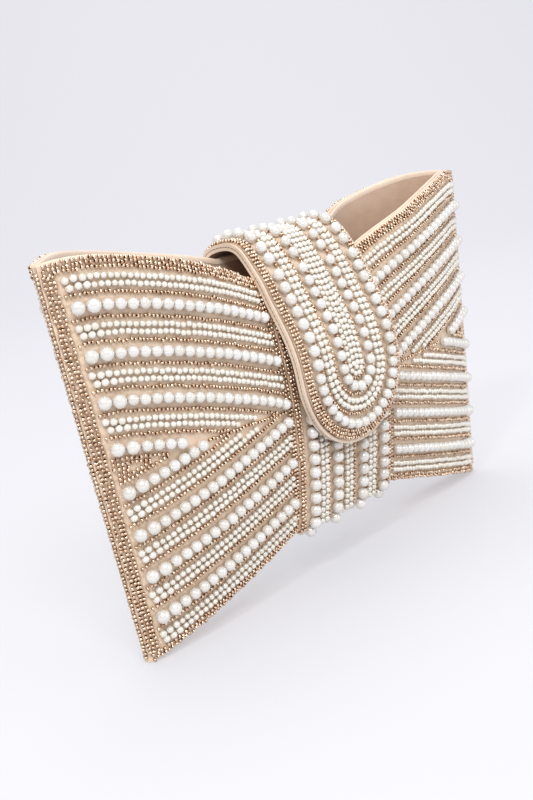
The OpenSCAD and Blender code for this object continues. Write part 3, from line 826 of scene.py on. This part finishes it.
def string(centres, normals, diameter, ends=(), pitch=None, jitter=0.0):
    """Beads threaded along a line of centres, from its start, each touching the next unless a
    pitch is given. The first ones may have other diameters. The line's slack is shared out."""
    length = path_length(centres)
    most = int(length[-1] / (pitch or diameter)) + len(ends) + 2
    size = np.r_[list(ends), np.full(most, diameter)]
    step = size + 0.00004 if pitch is None else np.full(len(size), pitch)
    at = np.cumsum(step) - step / 2
    fits = at + step / 2 <= length[-1] + 0.0002
    size, at, step = size[fits], at[fits], step[fits]
    if len(at) == 0:
        return tuple(np.zeros((0, 3)) for _ in range(3)) + (np.zeros(0),)
    at = at * min(length[-1] / (at[-1] + step[-1] / 2), 1.08)
    pick = lambda values: np.stack([np.interp(at, length, values[:, k]) for k in range(3)], -1)
    centre, normal = pick(centres), pick(normals)
    along = pick(np.gradient(centres, axis=0))
    along = unit(along)
    beside = np.cross(along, normal)
    centre = centre + beside * rng.normal(0, jitter, (len(at), 1)) + along * rng.normal(0, jitter / 2, (len(at), 1))
    return centre, along, normal, size * (1 + rng.normal(0, 0.008, len(size)))


def kept(keep):
    """The longest unbroken run of a true-false array, as a slice."""
    marks = np.flatnonzero(np.diff(np.r_[0, keep.astype(int), 0]))
    if len(marks) == 0:
        return slice(0, 0)
    starts, stops = marks[::2], marks[1::2]
    best = int(np.argmax(stops - starts))
    return slice(starts[best], stops[best])


def row_string(k, upper, hand, side, diameter, outer, inner, shift=0.0, clear=None, ends=(), jitter=0.0001):
    """Beads along row k of a wing, from outer, a distance in from the side, to the width inner."""
    z_guess = row_z(k, half_base - outer, side, upper)
    start = side_x(z_guess) - outer
    x = np.linspace(start, inner, 500)
    z = row_z(k, x, side, upper) + shift
    clear = diameter / 2 if clear is None else clear
    above = (z - meeting_z(x, side)) * (1 if upper else -1)
    run = kept(above > clear)
    if run.stop - run.start < 4:
        return string(np.zeros((2, 3)), np.zeros((2, 3)), 1.0)
    centres, normals = on_panel(x[run], z[run], side, diameter / 2)
    centres, normals = centres * [hand, 1, 1], normals * [hand, 1, 1]
    return string(centres, normals, diameter, ends, jitter=jitter)


def pearl(name, pale, deep, roughness=0.16):
    """Glass pearl: two ivory tones from bead to bead under a clear nacre coat, with painted shade at its hole."""
    material, add, shader = new_material(name)
    tone = add("Attribute", {"attribute_name": "tone"})
    hole = add("Attribute", {"attribute_name": "hole"})
    place = add("TexCoord")
    cloud = add("TexNoise", Vector=place.outputs["Object"], Scale=420.0, Detail=2.0)
    share = add("Math", "MULTIPLY_ADD", _0=cloud, _1=0.4, _2=-0.1)
    blend = add("Math", "MULTIPLY_ADD", _0=tone.outputs["Fac"], _1=0.7, _2=share)
    colour = add("Mix", {"data_type": "RGBA"}, _0=blend, _6=(*pale, 1), _7=(*deep, 1))
    # painted shade: the pole points are darkened to stand for the shaded inside of the drilled hole
    hole_shade_share = add("Math", "POWER", _0=hole.outputs["Fac"], _1=3.0)
    painted_hole_shade = add(
        "Mix", {"data_type": "RGBA"}, _0=hole_shade_share, _6=colour.outputs[2], _7=(0.25, 0.17, 0.11, 1)
    )
    bump = add("Bump", Height=cloud, Distance=0.00008, Strength=0.25)
    connect(shader, Base_Color=painted_hole_shade.outputs[2], Normal=bump, Roughness=roughness, Metallic=0.3)
    connect(shader, Coat_Weight=0.8, Coat_Roughness=0.04, Coat_IOR=1.65)
    return material


ivory = pearl("ivory pearl", (0.80, 0.785, 0.755), (0.72, 0.68, 0.61), 0.15)
large_pearls = ball(14, 8), pearl_tilt, ivory, "pearl"
wings = [(hand, hand_name, side, side_name) for side, side_name in sides for hand, hand_name in hands]
for hand, hand_name, side, side_name in wings:
    strings = []
    for k in big_rows:
        strings.append(
            row_string(k, k <= rows // 2, hand, side, wing_pearl, end_inset - end_pearl / 2, half_knot + 0.0035,
                       clear=0.0 if k == rows // 2 + 1 else wing_pearl / 2 + 0.0001,
                       ends=(end_pearl, end_pearl), jitter=0.00008)
        )
    wing = f"{hand_name}_{side_name}"
    beads(wing + "_large_pearls", large_pearls, strings, "bag", wing + "_pearls")


# ---- Small pearls of the wings ----
# Between the rows of large pearls runs a double thread of 2.7 mm pearls. Each thread starts at the
# side seam with a few of 3.3 mm.

small_pearl, end_small = 0.0027, 0.0033
double_rows = (1, 3, 5, 7, 10, 12, 14, 16)
strand_gap = 0.00155
cream = pearl("cream pearl", (0.85, 0.82, 0.75), (0.77, 0.71, 0.60), 0.18)
small_pearls = ball(10, 6), small_tilt, cream, "pearl"
for hand, hand_name, side, side_name in wings:
    strings = []
    for k in double_rows:
        for shift in (strand_gap, -strand_gap):
            outer = 0.0062 + (0.0012 if shift < 0 else 0.0)
            strings.append(
                row_string(k, k <= rows // 2, hand, side, small_pearl, outer, half_knot + 0.0037,
                           shift=shift * lean, clear=small_pearl / 2 + 0.0008, ends=(end_small,) * 3, jitter=0.00014)
            )
    beads(f"{hand_name}_{side_name}_small_pearls", small_pearls, strings, "bag")


# ---- Seed beads of the wings ----
# Rose-gold metal seed beads, 1.9 mm, couched in a single line between the rows, in two or three
# lines round each wing, and massed in the triangle where the two sets of rows part at the side.

seed = 0.0019
seed_lift = seed * 0.46  # from the satin to a bead's middle
seed_run = seed * 0.95  # length a bead takes on its thread


def rocaille(segments):
    """A seed bead: a short tube with rounded shoulders, threaded on X."""
    turn = np.linspace(0, 2 * np.pi, segments + 1)[:-1]
    outline = np.array([(-0.62, 0.42), (-0.66, 0.72), (-0.3, 1.0), (0.3, 1.0), (0.66, 0.72), (0.62, 0.42)])
    along, radius = outline[:, :1], outline[:, 1:]
    ring = np.stack(np.broadcast_arrays(along, radius * np.cos(turn), radius * np.sin(turn)), -1)
    quads, fans = tube_faces(len(outline), segments)
    # hole marks 1 on the end rings, whose closing fans the bead material paints with the hole's shade
    return ring.reshape(-1, 3), quads[:, ::-1], fans[:, ::-1], np.repeat([1.0, 0, 0, 0, 0, 1.0], segments)


def rose_gold():
    """Plated metal beads: tone and gloss vary from bead to bead, with painted shade in the hole."""
    material, add, shader = new_material("rose gold seed")
    tone = add("Attribute", {"attribute_name": "tone"})
    hole = add("Attribute", {"attribute_name": "hole"})
    colour = add("Mix", {"data_type": "RGBA"}, _0=tone.outputs["Fac"],
                 _6=(0.62, 0.41, 0.27, 1), _7=(1.0, 0.82, 0.64, 1))
    # painted shade: the end rings and the fans that close the hole are darkened to stand for the shaded hole
    dark = add("Mix", {"data_type": "RGBA"}, _0=hole.outputs["Fac"],
               _6=colour.outputs[2], _7=(0.16, 0.08, 0.045, 1))
    gloss = add("MapRange", _0=tone.outputs["Fac"], _3=0.34, _4=0.16)
    connect(shader, Base_Color=dark.outputs[2], Roughness=gloss, Metallic=1.0)
    return material


seed_beads = rocaille(7), seed_tilt, rose_gold(), "gilt"


def wing_line(x, z, hand, side, jitter=0.00018):
    """Seed beads along any line of a wing, given by its widths and heights."""
    centres, normals = on_panel(x, z, side, seed_lift)
    return string(centres * [hand, 1, 1], normals * [hand, 1, 1], seed_run, jitter=jitter)


def wing_seeds(hand, side):
    """All the seed beads of one wing."""
    strings = []
    inner = half_knot + 0.0042
    for k in range(1, rows):
        if k != rows // 2:
            strings.append(row_string(k + 0.5, k < rows // 2, hand, side, seed * 0.9, 0.0060, inner, jitter=0.0002))
    for upper, k, sign in ((True, rows // 2, 1), (False, rows // 2 + 1, -1)):
        for step in (0.0045, 0.0064, 0.0083):
            strings.append(
                row_string(k, upper, hand, side, seed_run, 0.0062, inner, shift=-sign * step, clear=0.0002)
            )
    x = np.linspace(half_knot + 0.0045, 0.087, 400)
    strings.append(wing_line(x, meeting_z(x, side), hand, side))
    for inset in (-0.0011, 0.0006, 0.0023):
        x = np.linspace(half_top - 0.001, half_knot + 0.001, 500)
        strings.append(wing_line(x, mouth_z(x, side) - inset * lean, hand, side, jitter=0.00025))
    for inset in (0.0008, 0.0026):
        x = np.linspace(half_base - 0.001, half_knot + 0.001, 500)
        strings.append(wing_line(x, base_z(x) + inset * lean, hand, side, jitter=0.00025))
        x = np.full(400, half_knot + 0.0003 + inset)
        z = np.linspace(float(base_z(half_knot)) + 0.005, float(mouth_z(half_knot, side)) - 0.0045, 400)
        strings.append(wing_line(x, z, hand, side))
    for inset in (0.0010, 0.0027, 0.0044) if side == FRONT else (0.0027, 0.0044):
        z = np.linspace(0.004, corner_height - 0.002, 400)
        strings.append(wing_line(side_x(z) - inset, z, hand, side, jitter=0.00025))
    if side == FRONT:
        z = np.linspace(0.002, corner_height, 400)
        edge_line = np.stack([hand * (side_x(z) + 0.0005), np.full(400, seam_y - 0.0008), z], -1)
        strings.append(string(edge_line, np.tile([float(hand), 0.0, 0.0], (400, 1)), seed * 0.9, jitter=0.0002))
    return strings


for hand, hand_name, side, side_name in wings:
    beads(f"{hand_name}_{side_name}_seed_beads", seed_beads, wing_seeds(hand, side), "bag")


# ---- Beads of the knot band ----
# Four columns of large pearls, spaced 6.3 mm apart, run from under the flap round the base and up
# the back. Double threads of small pearls lie between them, with seed beads beside each.

column_x = (0.027, 0.010)
double_x = 0.0185
band_pearl, band_pitch = 0.0056, 0.0063
band_small = 0.0029


def on_band(x, stretch, out):
    """Centres and normals of a column of the band at a height out above its satin."""
    path = band_path(band_gap + band_thick + out)
    low, high = stretch
    middle = int(np.argmin(path[:, 1] + 10 * np.abs(path[:, 0] - seam_y)))
    turn = np.gradient(path, axis=0)
    normal = np.stack([turn[:, 1], -turn[:, 0]], -1) * -1
    normal = unit(normal)
    keep = np.ones(len(path), bool)
    keep[:middle] &= path[:middle, 1] < low
    keep[middle:] &= path[middle:, 1] < high
    path, normal = path[keep], normal[keep]
    centres = np.concatenate([np.full((len(path), 1), x), path], -1)
    return centres, np.concatenate([np.zeros((len(path), 1)), normal], -1)


under_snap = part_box("snap_socket")[0][2] - band_pearl / 2
under_flap = {"pearls": 0.100, "smalls": 0.112, "border": 0.132}
pearls, smalls, seeds = [], [], []
for hand in (-1, 1):
    for x in column_x:
        limit = under_flap["pearls"] if x > 0.02 else under_snap
        centres, normals = on_band(hand * x, (limit, fold_height - 0.019), band_pearl / 2)
        pearls.append(string(centres, normals, band_pearl, pitch=band_pitch, jitter=0.00008))
    for x in (double_x - 0.0016, double_x + 0.0016, 0.0016):
        limit = under_flap["smalls"] if x > 0.01 else under_snap
        centres, normals = on_band(hand * x, (limit, fold_height - 0.017), band_small / 2)
        smalls.append(string(centres, normals, band_small, jitter=0.0001))
    for x in (0.0342, 0.0324, 0.0228, 0.0143, 0.0052):
        limit = under_flap["smalls"] if x > 0.01 else under_snap
        limit = under_flap["border"] if x > 0.03 else limit
        centres, normals = on_band(hand * x, (limit, fold_height - 0.017), seed_lift)
        seeds.append(string(centres, normals, seed_run, jitter=0.00018))
beads("band_large_pearls", large_pearls, pearls, "bag", "front_band_pearls", "back_band_pearls")
beads("band_small_pearls", small_pearls, smalls, "bag")
beads("band_seed_beads", seed_beads, seeds, "bag")


# ---- Beads of the flap ----
# Nested U shapes follow the round tip: three lines of seed beads inside the binding, large pearls,
# a double thread of small ones, a second U of large pearls, and a core of small pearls. Single
# lines of seed beads part them.

flap_pearl, inner_pearl, arc_pearl, flap_small = 0.0056, 0.0051, 0.005, 0.0031
flap_pitch = 0.0058
back_clear, front_clear = 0.005, 0.0041
core_strands = ((0.00145, 0.0028), (0.0043, 0.0027))
flap_seed_x = (0.0339, 0.0322, 0.0305, 0.0228, 0.0136, 0.0065)


def flap_string(x, l, diameter, pitch=None, jitter=0.0001):
    """Beads along a line on the flap, given by its widths and lengths."""
    centres, normals = on_flap(x, l, diameter / 2)
    return string(centres, normals, diameter, pitch=pitch, jitter=jitter)


def spots(x, l, diameter):
    """Single beads on the flap, at given widths and lengths."""
    centres, normals = on_flap(x, l, diameter / 2)
    along = np.stack([0 * normals[:, 0], -normals[:, 2], normals[:, 1]], -1)
    return centres, along, normals, np.full(len(centres), diameter)


def u_line(radius, l0):
    """A U on the flap: down one side from l0, round the tip and up the other side."""
    turn = np.linspace(0, np.pi, 120)
    down = np.linspace(l0, round_l, 200)
    x = np.r_[np.full(200, -radius), -radius * np.cos(turn[1:-1]), np.full(200, radius)]
    return x, np.r_[down, round_l + radius * np.sin(turn[1:-1]), down[::-1]]


def stretch_strings(l0, l1):
    """Columns of small pearls and seed beads along a straight stretch of the flap."""
    small, fine = [], []
    for hand in (-1, 1):
        for x, diameter in ((double_x - 0.0017, flap_small), (double_x + 0.0016, flap_small), *core_strands):
            l = np.linspace(l0, l1, 200)
            small.append(flap_string(np.full(200, hand * x), l, diameter))
        for x in flap_seed_x:
            l = np.linspace(l0, l1, 200)
            fine.append(flap_string(np.full(200, hand * x), l, seed * 0.92, jitter=0.00018))
    return small, fine


# the tail and the bridge: straight columns
first, last = back_fold_l + back_clear, front_fold_l - front_clear
bridge_l = np.linspace(first, last, int((last - first) / flap_pitch) + 1)
tail_l = back_fold_l - back_clear - flap_pitch * np.arange(2)
for name, body, l, l0, l1 in (
    ("tail", "bag", tail_l, 0.0012, back_fold_l),
    ("bridge", "flap_bridge", bridge_l, back_fold_l, front_fold_l),
):
    big = [
        spots(np.full(len(l), hand * x), l, diameter)
        for hand in (-1, 1)
        for x, diameter in zip(column_x, (flap_pearl, inner_pearl))
    ]
    small, fine = stretch_strings(l0, l1)
    nodes = ("bridge_pearls",) if name == "bridge" else ()
    beads(name + "_large_pearls", large_pearls, big, body, *nodes)
    beads(name + "_small_pearls", small_pearls, small, body)
    beads(name + "_seed_beads", seed_beads, fine, body)

# the tongue: nested U shapes
start = front_fold_l + front_clear
big = {}
for x, diameter in ((column_x[0], flap_pearl), (column_x[1], inner_pearl)):
    count = int((round_l - start) / flap_pitch)
    down = start + (round_l - start) / count * np.arange(count)
    arcs = int(np.pi * x / (arc_pearl + 0.0001))
    turn = np.pi * np.arange(arcs + 1) / arcs
    big[x] = [
        spots(np.full(count, -x), down, diameter),
        spots(np.full(count, x), down, diameter),
        spots(x * np.cos(turn), round_l + x * np.sin(turn), arc_pearl),
    ]
for label, x, node in (("outer", column_x[0], "tongue_outer_pearls"), ("inner", column_x[1], "tongue_inner_pearls")):
    beads(f"tongue_{label}_large_pearls", large_pearls, big[x], "flap_tongue", node)
small = [flap_string(*u_line(double_x + step, front_fold_l), flap_small) for step in (-0.0017, 0.0016)]
small += [flap_string(*u_line(x, front_fold_l), diameter) for x, diameter in core_strands]
fine = [flap_string(*u_line(x, front_fold_l), seed * 0.92, jitter=0.00018) for x in flap_seed_x]
beads("tongue_small_pearls", small_pearls, small, "flap_tongue")
beads("tongue_seed_beads", seed_beads, fine, "flap_tongue")


# ---- Table, light and camera ----
# The bag stands on a pale studio sweep, lit by large soft lights and a small bright one for the
# pearls' highlights.

camera_azimuth, camera_elevation, camera_roll = np.radians([-46.384, 12.679, -9.488])
camera_place = np.array([-0.38987, -0.34269 + seam_y, 0.19762])
back_axis = np.array([
    np.sin(camera_azimuth) * np.cos(camera_elevation),
    -np.cos(camera_azimuth) * np.cos(camera_elevation),
    np.sin(camera_elevation),
])
level = np.array([np.cos(camera_azimuth), np.sin(camera_azimuth), 0.0])
upright = np.cross(back_axis, level)
right_axis = np.cos(camera_roll) * level + np.sin(camera_roll) * upright
up_axis = np.cross(back_axis, right_axis)
matrix = np.eye(4)
matrix[:3, :3] = np.stack([right_axis, up_axis, back_axis], 1)
matrix[:3, 3] = camera_place
lens = bpy.data.cameras.new("camera")
lens.lens = 50
lens.sensor_width = 36
lens.sensor_fit = "AUTO"
lens.clip_start = 0.01
camera = bpy.data.objects.new("camera", lens)
bpy.context.collection.objects.link(camera)
camera.matrix_world = Matrix(matrix.tolist())
bpy.context.scene.camera = camera

look = -back_axis * [1, 1, 0]
look /= np.linalg.norm(look)
beside = np.array([-look[1], look[0], 0.0])
turn = np.linspace(0, np.pi / 2, 24)
run = np.r_[-2.5, 0.0, 1.2 + 1.2 * np.sin(turn), 2.4]
rise = np.r_[0.0, 0.0, 1.2 - 1.2 * np.cos(turn), 4.0]
width = np.linspace(-3.5, 3.5, 9)
sweep_points = look * run[:, None, None] + beside * width[None, :, None] + np.array([0, 0, 1.0]) * rise[:, None, None]
at = np.arange(sweep_points.shape[0] * 9).reshape(-1, 9)
sweep_quads = np.stack([at[:-1, :-1], at[1:, :-1], at[1:, 1:], at[:-1, 1:]], -1).reshape(-1, 4)[:, ::-1]
sweep = mesh_piece("studio_sweep", sweep_points.reshape(-1, 3), sweep_quads, crease=0)
paper, _, shader = new_material("paper sweep")
connect(shader, Base_Color=(0.36, 0.36, 0.367, 1), Roughness=0.9)
connect(shader, Emission_Color=(0.93, 0.93, 1.0, 1), Emission_Strength=0.4)
sweep.data.materials.append(paper)

world = bpy.data.worlds.new("studio")
world.use_nodes = True
connect(world.node_tree.nodes["Background"], Color=(0.93, 0.93, 0.97, 1), Strength=0.68)
bpy.context.scene.world = world


def softbox(name, place, aim, size, power, colour=(1, 1, 1)):
    """A square soft light at a place, turned to face a point."""
    light = bpy.data.lights.new(name, "AREA")
    light.shape = "SQUARE"
    light.size = size
    light.energy = power
    light.color = colour
    lamp = bpy.data.objects.new(name, light)
    away = np.array(place, float) - aim
    away /= np.linalg.norm(away)
    side_axis = np.cross([0, 0, 1], away)
    side_axis /= np.linalg.norm(side_axis)
    turned = np.eye(4)
    turned[:3, :3] = np.stack([side_axis, np.cross(away, side_axis), away], 1)
    turned[:3, 3] = place
    lamp.matrix_world = Matrix(turned.tolist())
    bpy.context.collection.objects.link(lamp)


centre = np.array([0, 0, 0.08])
softbox("key", (-0.7, -0.9, 1.2), centre, 0.7, 12)
softbox("spark", (-0.75, -0.35, 0.9), centre, 0.12, 3.4)
softbox("backdrop", look * 1.3 + [0, 0, 2.0], look * 2.3 + [0, 0, 0.9], 1.6, 14)
softbox("fill", (0.7, -1.3, 0.5), centre, 1.0, 3)
softbox("top", (0.1, 0.3, 1.5), centre, 1.2, 9)
bpy.context.scene.view_settings.view_transform = "Standard"
